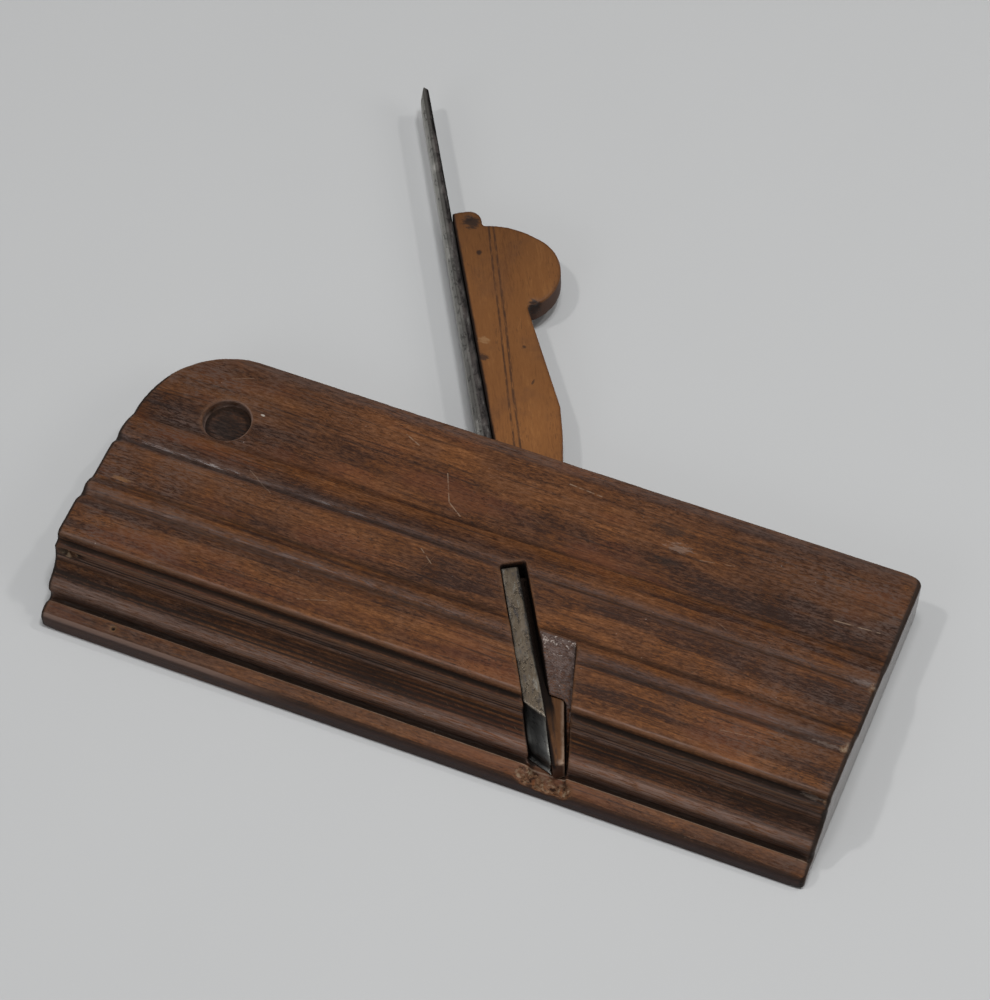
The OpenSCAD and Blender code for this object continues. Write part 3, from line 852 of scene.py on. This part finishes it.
def buildIronSteel(finish):
    material, s, shader, place = newMaterial("ironSteel")
    under = s.minus(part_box("iron")[1].z, s.parts(place)["Z"])
    along = alongBed(s, place)
    bed = s.parts(along)
    forward = s.times(bed["Y"], -1.0)
    wear = readWear(s, place, finish["reaches"])
    blotch = s.noiseAt(along, finish["blotchSize"], 7, 0.74)
    uneven = s.minus(blotch, 0.5)
    pits = s.between(s.noiseAt(along, finish["pitSize"], 3, 0.65), 0.54, 0.66)
    rust = s.between(wear["Smudge"], 0.5, 0.64)
    ragged = s.spread(uneven, finish["raggedEdge"], forward)
    colour = layTints(s, finish, rampOf(s, blotch, finish, "forgedStops"), [
        (rust, 0.6, "rust"), (s.between(ragged, *finish["edgeAhead"]), 0.8, "edge")])
    flat = s.mix(s.between(bed["X"], *finish["tangHeights"]), finish["flat"], finish["flatTop"])
    colour = s.cover(colour, s.between(forward, *finish["flatAhead"]), 0.85, flat)
    strip = s.between(under, *finish["sideDepths"])
    colour = s.mix(strip, colour, rampOf(s, blotch, finish, "sideStops"))
    low = s.between(bed["X"], *finish["bevelHeights"])
    ground = s.times(low, s.minus(1.0, strip))
    bevel = s.mix(s.between(forward, *finish["bevelAhead"]), finish["bevel"], finish["bevelFront"])
    colour = s.cover(colour, ground, 0.85, bevel)
    # Painted shade on the front face under the wedge, and a brighter strip on the front face over the bevel
    behind = s.minus(ironFront(s, bed["X"]), forward)
    front = s.between(s.spread(uneven, finish["raggedFront"], behind), *finish["frontDepths"])
    colour = layTints(s, finish, colour, [
        (pits, 0.55, "dark"),
        (wear["Rub"], 0.35, "bright"),
        (s.times(front, s.minus(1.0, low)), 0.85, "gapShade"),
        (s.times(front, ground), 0.5, "bright"),
    ])
    s.feed(colour, shader["Base Color"])
    s.feed(s.spread(rust, -0.6, 0.85), shader["Metallic"])
    s.feed(s.spread(rust, 0.25, 0.46), shader["Roughness"])
    feedBump(s, shader, s.spread(pits, -0.7, blotch), finish["bump"])
    return material


floorFinish = {
    "colour": (0.505, 0.508, 0.508), "size": 3.0, "cloudSize": (4, 4, 4), "roughness": 0.55, "specular": 0.2}


def buildFloor(finish):
    half = finish["size"] / 2
    mesh = bpy.data.meshes.new("floor")
    corners = [(-half, -half, 0), (half, -half, 0), (half, half, 0), (-half, half, 0)]
    mesh.from_pydata(corners, [], [(0, 1, 2, 3)])
    material, s, shader, place = newMaterial("paleFloor")
    shade = s.spread(s.noiseAt(place, finish["cloudSize"], 4, 0.6), 0.06, 0.97)
    s.feed(s.scaled(finish["colour"], shade), shader["Base Color"])
    shader["Roughness"].default_value = finish["roughness"]
    shader["Specular IOR Level"].default_value = finish["specular"]
    mesh.materials.append(material)
    floor = bpy.data.objects.new("floor", mesh)
    scene.collection.objects.link(floor)


# Mesh work: voxels, dents and worn edges

def solidCopy(node, name):
    mesh = frame["nodes"][node].data.copy()
    mesh.name = name
    mesh.materials.clear()
    work = bmesh.new()
    work.from_mesh(mesh)
    bmesh.ops.remove_doubles(work, verts=work.verts, dist=0.001 * mm)
    work.to_mesh(mesh)
    work.free()
    piece = bpy.data.objects.new(name, mesh)
    scene.collection.objects.link(piece)
    return piece


def settleModifiers(piece):
    graph = bpy.context.evaluated_depsgraph_get()
    done = bpy.data.meshes.new_from_object(
        piece.evaluated_get(graph), preserve_all_data_layers=True, depsgraph=graph)
    piece.modifiers.clear()
    done.name = piece.name
    piece.data = done


def cutVoxels(piece, voxel):
    step = piece.modifiers.new("voxels", "REMESH")
    step.mode = "VOXEL"
    step.voxel_size = voxel
    settleModifiers(piece)


def readVectors(rows, name):
    flat = np.empty(len(rows) * 3, np.float32)
    rows.foreach_get(name, flat)
    return flat.reshape(-1, 3)


def readPoints(mesh):
    return readVectors(mesh.vertices, "co").astype(float)


def readNormals(mesh):
    return readVectors(mesh.vertex_normals, "vector")


def writePoints(mesh, points):
    mesh.vertices.foreach_set("co", points.astype(np.float32).ravel())
    mesh.update()


def writeMark(mesh, name, values):
    mark = mesh.attributes.get(name) or mesh.attributes.new(name, "FLOAT", "POINT")
    mark.data.foreach_set("value", values.astype(np.float32))


# Worn solid: edges blurred by the rounding mark, hand-worked waves, nicks on proud edges, relief for painted
# shade and dirt in hollows and for rubbing
def buildWearTree():
    tree, s, given, out = newGroup("wornSolid", {
        "Geometry": "NodeSocketGeometry", "Arris passes": 8, "Relief passes": 14, "Relief unit": 0.0003,
        "Wave depth": 0.0001, "Wave size": (20, 120, 120),
        "Grain depth": 0.00005, "Grain size": (30, 500, 500),
        "Nick depth": 0.0002, "Nick size": (150, 300, 300), "Finish": "NodeSocketMaterial",
    }, ["Geometry"], "GeometryNodeTree")
    place = s.node("GeometryNodeInputPosition").outputs[0]
    normal = s.node("GeometryNodeInputNormal").outputs[0]
    rounding = s.node("GeometryNodeInputNamedAttribute", {"Name": "rounding"}, data_type="FLOAT").outputs[0]

    def blurred(passes, weight):
        soft = s.node("GeometryNodeBlurAttribute", data_type="FLOAT_VECTOR")
        s.feed(place, [x for x in soft.inputs if x.enabled and x.name == "Value"][0])
        s.feed(passes, soft.inputs["Iterations"])
        s.feed(weight, soft.inputs["Weight"])
        return [x for x in soft.outputs if x.enabled][0]

    def proud(passes):
        apart = s.vector("SUBTRACT", place, blurred(passes, 1.0))
        return s.math("DIVIDE", s.vector("DOT_PRODUCT", apart, normal), given["Relief unit"])

    def sink(geometry, depth):
        offset = s.scaled(normal, s.times(depth, -1.0))
        return s.node("GeometryNodeSetPosition", {"Geometry": geometry, "Offset": offset}).outputs[0]

    worn = s.node("GeometryNodeSetPosition", {
        "Geometry": given["Geometry"], "Position": blurred(given["Arris passes"], rounding)}).outputs[0]
    waves = s.times(s.noiseAt(place, given["Wave size"], 2), given["Wave depth"])
    ridges = s.times(s.noiseAt(place, given["Grain size"], 2), given["Grain depth"])
    uneven = sink(worn, s.math("ADD", waves, ridges))
    gaps = s.between(s.noiseAt(place, given["Nick size"], 3, 0.6), 0.5, 0.72)
    edges = s.between(proud(given["Relief passes"]), 0.3, 1.0)
    nicked = sink(uneven, s.times(s.times(gaps, edges), given["Nick depth"]))
    marked = s.node("GeometryNodeStoreNamedAttribute", {
        "Geometry": nicked, "Name": "relief"}, data_type="FLOAT", domain="POINT")
    s.feed(proud(given["Relief passes"]), [x for x in marked.inputs if x.enabled and x.name == "Value"][0])
    smooth = s.node("GeometryNodeSetShadeSmooth", {"Geometry": marked.outputs[0]}).outputs[0]
    plain = s.node("GeometryNodeRealizeInstances", {"Geometry": smooth}).outputs[0]
    finished = s.node("GeometryNodeSetMaterial", {"Geometry": plain, "Material": given["Finish"]}).outputs[0]
    s.feed(finished, out[0])
    return tree


wearTree = buildWearTree()
print("wear tree built")


def wearSolid(piece, settings, finish, triangles):
    step = piece.modifiers.new("wear", "NODES")
    step.node_group = wearTree
    names = {item.name: item.identifier for item in wearTree.interface.items_tree if item.in_out == "INPUT"}
    for label, value in settings.items():
        step[names[label]] = value
    step[names["Finish"]] = finish
    thin = piece.modifiers.new("thin", "DECIMATE")
    thin.ratio = min(1.0, triangles / (2 * len(piece.data.polygons)))
    settleModifiers(piece)
    print(piece.name, "has", len(piece.data.polygons), "faces")


stockShape = {
    "voxel": 0.42 * mm,
    "triangles": 190000,
    "wear": {
        "Arris passes": 24, "Relief passes": 16, "Relief unit": 0.35 * mm,
        "Wave depth": 0.16 * mm, "Wave size": (18, 90, 90),
        "Grain depth": 0.08 * mm, "Grain size": (26, 520, 520),
        "Nick depth": 0.25 * mm, "Nick size": (120, 400, 400),
    },
    "rounding": 0.06,
    "soleRounding": 0.02,
    "soleReach": 19.0 * mm,
    "soleEdge": 1.5 * mm,
    "heelRounding": 0.3,
    "toeRounding": 0.8,
    "endReach": 4.5 * mm,
    # what the worn ends lose is added to their length first
    "heelOut": 0.5 * mm,
    "toeOut": 1.4 * mm,
    "outFrom": 70 * mm,
    "fenceWear": {
        "places": (-75, -30, 40, 121), "drops": (0.0, 0.9, 1.3, 2.2), "reach": 4.6 * mm, "height": 7.4 * mm},
    # height of the moulded cheek over its height above the sole, in mm
    "cheek": ((0, 5.8, 5.9, 16.7, 17.9, 31.3, 41, 55.5, 69), (7.4, 7.4, 24, 24, 27, 27, 24, 24, 20)),
    # slot for the blade and mortise for the tang, where no light gets in: limits in mm
    "slotTop": 66.5,
    "slotAhead": 2.7,
    "mortise": (5.2, 14.6),
    "mortiseAhead": 0.6,
    "behindBed": 0.5,
    "mouthTop": 7.0,
    # depth under the cheek at which the painted shade starts, and over which it comes to the full
    "darkFrom": 0.3,
    "darkOver": 1.2,
    # the ramp of the escapement, where dust settles: x, y and z limits in mm
    "dustBox": ((24, 64), (-30, -10.4), (6, 25.2)),
    "dustFacing": (0.6, 0.93),
    # place, radius, depth and stretch along the grain, in mm
    "dents": [
        ((-97.9, -46.7, 7.4), 0.75, 2.2, 1.0),
        ((-116.0, -36.0, 22.0), 1.6, 1.0, 3.0),
        ((-112.0, -35.6, 22.4), 1.1, 0.7, 2.5),
        ((86.0, -49.2, 6.6), 1.4, 0.5, 1.6),
        ((51.0, 33.4, 20.0), 2.5, 0.25, 2.0),
        ((-60.0, 5.0, 24.0), 1.6, 0.25, 2.0),
        ((20.0, 12.0, 23.5), 1.2, 0.2, 2.5),
        ((-20.0, 44.0, 20.0), 1.0, 0.2, 2.0),
        ((-121.0, 6.6, 23.2), 2.3, 1.0, 1.0),
        ((-121.0, -16.8, 26.3), 2.5, 1.0, 1.0),
        ((-121.0, -33.5, 24.0), 1.6, 0.7, 1.0),
    ],
    # place, radius, depth and stretch of broken wood, in mm
    "chips": [
        ((36.0, -47.6, 7.4), 4.0, 1.3, 1.3),
        ((41.0, -48.6, 7.0), 4.0, 1.5, 1.2),
        ((45.5, -48.8, 6.4), 3.2, 1.2, 1.2),
        ((-116.5, -35.8, 21.8), 1.8, 0.5, 2.0),
        ((120.9, 7.0, 23.6), 1.9, 0.7, 1.2),
        ((120.8, -16.5, 26.4), 2.2, 0.8, 1.2),
        ((120.9, -33.0, 24.0), 1.4, 0.6, 1.2),
        ((121.0, 22.0, 20.0), 1.3, 0.5, 1.2),
    ],
}


# Bottom of a chip: waves per metre, mean share of the depth, swing of the waves and slope of the edge
brokenWood = {"waves": 900, "mean": 0.5, "swing": 0.9, "slope": 2}


# Sinks the surface round each place along its own normals, with a broken bottom for chips
def pressIn(mesh, marks, broken):
    points = readPoints(mesh)
    normals = readNormals(mesh)
    share = np.zeros(len(points))
    for where, radius, depth, stretch in marks:
        apart = (points - np.array(where) * mm) / (np.array((radius * stretch, radius, radius)) * mm)
        reach = (apart ** 2).sum(1)
        for i in np.nonzero(reach < 1)[0]:
            fall = (1 - reach[i]) ** 2
            if broken:
                fall = min(1.0, brokenWood["slope"] * (1 - reach[i]))
                wave = noise.noise(Vector(points[i]) * brokenWood["waves"])
                fall *= brokenWood["mean"] + brokenWood["swing"] * wave
            fall = max(0.0, fall)
            points[i] -= normals[i] * depth * mm * fall
            share[i] = max(share[i], min(1.0, 1.6 * fall))
    writePoints(mesh, points)
    return share


# Heights up the bed, distances ahead of it, and the two directions
def alongBedPoints(points):
    slide = np.array(bedFrame["slide"][:2])
    across = np.array((slide[1], -slide[0]))
    fromMouth = points[:, :2] - np.array(bedFrame["mouth"][:2])
    return fromMouth @ slide, fromMouth @ across, slide, across


# How far the front of iron or wedge stands ahead of the bed
def frontOf(name, heights):
    return bedFrame[name + "Front"] + bedFrame[name + "Slope"] * heights


# Marks the walls of slot and mortise by their depth under the cheek, for their painted shade
def markInside(points, shape, low):
    upBed, ahead = alongBedPoints(points)[:2]
    slotFront = frontOf("iron", upBed) + shape["slotAhead"] * mm
    mortiseFront = frontOf("wedge", upBed) + shape["mortiseAhead"] * mm
    behind = ahead > -shape["behindBed"] * mm
    inSlot = behind & (upBed < shape["slotTop"] * mm) & (ahead < slotFront)
    floorZ, roofZ = shape["mortise"]
    inMortise = behind & (ahead < mortiseFront) & (points[:, 2] > floorZ * mm) & (points[:, 2] < roofZ * mm)
    heights, levels = shape["cheek"]
    depth = np.interp((points[:, 1] - low.y) / mm, heights, levels) * mm - points[:, 2]
    within = (inSlot | inMortise) & (points[:, 1] - low.y > shape["mouthTop"] * mm)
    dark = np.clip((depth - shape["darkFrom"] * mm) / (shape["darkOver"] * mm), 0, 1)
    return np.where(within, dark, 0)


def lengthenEnds(mesh, shape, low, high):
    points = readPoints(mesh)
    start = shape["outFrom"]
    points[:, 0] += shape["toeOut"] * np.clip((points[:, 0] - start) / (high.x - start), 0, 1)
    points[:, 0] -= shape["heelOut"] * np.clip((-points[:, 0] - start) / (-low.x - start), 0, 1)
    writePoints(mesh, points)


# The front of the fence is worn down towards the sole, more at the toe than at the heel
def wearFence(mesh, worn, low):
    points = readPoints(mesh)
    drop = np.interp(points[:, 0] / mm, worn["places"], worn["drops"]) * mm
    share = np.clip(1 - (points[:, 1] - low.y) / worn["reach"], 0, 1)
    points[:, 2] *= 1 - share * drop / worn["height"]
    writePoints(mesh, points)


def buildStock(shape):
    piece = solidCopy("stock", "wornStock")
    low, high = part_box("stock")
    lengthenEnds(piece.data, shape, low, high)
    cutVoxels(piece, shape["voxel"])
    wearFence(piece.data, shape["fenceWear"], low)
    pressIn(piece.data, shape["dents"], False)
    chips = pressIn(piece.data, shape["chips"], True)
    points = readPoints(piece.data)
    toEnd = np.minimum(points[:, 0] - low.x, high.x - points[:, 0])
    atEnd = np.clip(1 - toEnd / shape["endReach"], 0, 1)
    aboveSole = np.clip((points[:, 1] - low.y) / shape["soleReach"], 0, 1)
    rounding = shape["soleRounding"] + (shape["rounding"] - shape["soleRounding"]) * aboveSole ** 3
    endRounding = np.where(points[:, 0] > 0, shape["toeRounding"], shape["heelRounding"])
    rounding += (endRounding - rounding) * atEnd
    inside = np.ones(len(points), bool)
    for axis, (start, stop) in enumerate(shape["dustBox"]):
        inside &= (points[:, axis] > start * mm) & (points[:, axis] < stop * mm)
    facing = readNormals(piece.data)[:, 2]
    least, most = shape["dustFacing"]
    writeMark(piece.data, "rounding", rounding)
    writeMark(piece.data, "chip", chips)
    writeMark(piece.data, "dust", inside & (facing > least) & (facing < most))
    writeMark(piece.data, "inside", markInside(points, shape, low))
    wearSolid(piece, shape["wear"], buildStockWood(stockFinish), shape["triangles"])
    points = readPoints(piece.data)
    # How far a point near the ends faces along the length, for the end grain and the painted shade on the
    # turning edges
    toEnd = np.minimum(points[:, 0] - low.x, high.x - points[:, 0])
    endFacing = np.abs(readNormals(piece.data)[:, 0]) * (toEnd < shape["endReach"])
    writeMark(piece.data, "endFacing", endFacing)
    # How far the sole's side faces forward, for its painted shade
    soleFacing = -readNormals(piece.data)[:, 1] * (points[:, 1] - low.y < shape["soleEdge"])
    writeMark(piece.data, "soleFacing", np.clip(soleFacing, 0, 1))
    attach(piece, "stock")
    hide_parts("stock")


wedgeShape = {
    "voxel": 0.35 * mm,
    "triangles": 70000,
    "wear": {
        "Arris passes": 8, "Relief passes": 14, "Relief unit": 0.3 * mm,
        "Wave depth": 0.06 * mm, "Wave size": (60, 60, 90),
        "Grain depth": 0.03 * mm, "Grain size": (200, 120, 400),
        "Nick depth": 0.25 * mm, "Nick size": (250, 250, 400),
    },
    "rounding": 0.5,
    # the tip runs on down the mortise, on its own taper
    "tip": {"from": 30 * mm, "end": 5 * mm, "out": 3.2 * mm},
    # place, radius, depth and stretch of broken wood, in mm
    "chips": [
        ((-24.2, 104.4, 13.5), 2.4, 0.9, 1.0),
        ((-22.6, 102.6, 14.1), 1.6, 0.6, 1.0),
        ((-56.5, 128.5, 14.1), 1.6, 0.5, 1.0),
    ],
}


def lengthenTip(mesh, tip):
    points = readPoints(mesh)
    upBed, ahead, slide, across = alongBedPoints(points)
    moved = upBed - tip["out"] * np.clip((tip["from"] - upBed) / (tip["from"] - tip["end"]), 0, 1)

    def thickness(heights):
        return frontOf("wedge", heights) - frontOf("iron", heights)

    ahead = frontOf("iron", moved) + (ahead - frontOf("iron", upBed)) * thickness(moved) / thickness(upBed)
    points[:, :2] = np.array(bedFrame["mouth"][:2]) + np.outer(moved, slide) + np.outer(ahead, across)
    writePoints(mesh, points)


def buildWedge(shape):
    piece = solidCopy("wedge", "wornWedge")
    lengthenTip(piece.data, shape["tip"])
    cutVoxels(piece, shape["voxel"])
    writeMark(piece.data, "chip", pressIn(piece.data, shape["chips"], True))
    writeMark(piece.data, "rounding", np.full(len(piece.data.vertices), shape["rounding"]))
    wearSolid(piece, shape["wear"], buildWedgeWood(wedgeFinish), shape["triangles"])
    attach(piece, "wedge")
    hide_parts("wedge")


ironShape = {
    "voxel": 0.3 * mm,
    "triangles": 70000,
    "wear": {
        "Arris passes": 4, "Relief passes": 10, "Relief unit": 0.25 * mm,
        "Wave depth": 0.08 * mm, "Wave size": (160, 160, 220),
        "Grain depth": 0.05 * mm, "Grain size": (500, 500, 500),
        "Nick depth": 0.1 * mm, "Nick size": (300, 300, 300),
    },
    "rounding": 0.4,
}


def buildIron(shape):
    piece = solidCopy("iron", "forgedIron")
    cutVoxels(piece, shape["voxel"])
    writeMark(piece.data, "rounding", np.full(len(piece.data.vertices), shape["rounding"]))
    wearSolid(piece, shape["wear"], buildIronSteel(ironFinish), shape["triangles"])
    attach(piece, "iron")
    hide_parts("iron")


placeCamera(viewSetup)
placeLights(lightSetup)
buildFloor(floorFinish)
buildStock(stockShape)
buildWedge(wedgeShape)
buildIron(ironShape)

scene.view_settings.view_transform = "Standard"
print("scene ready")
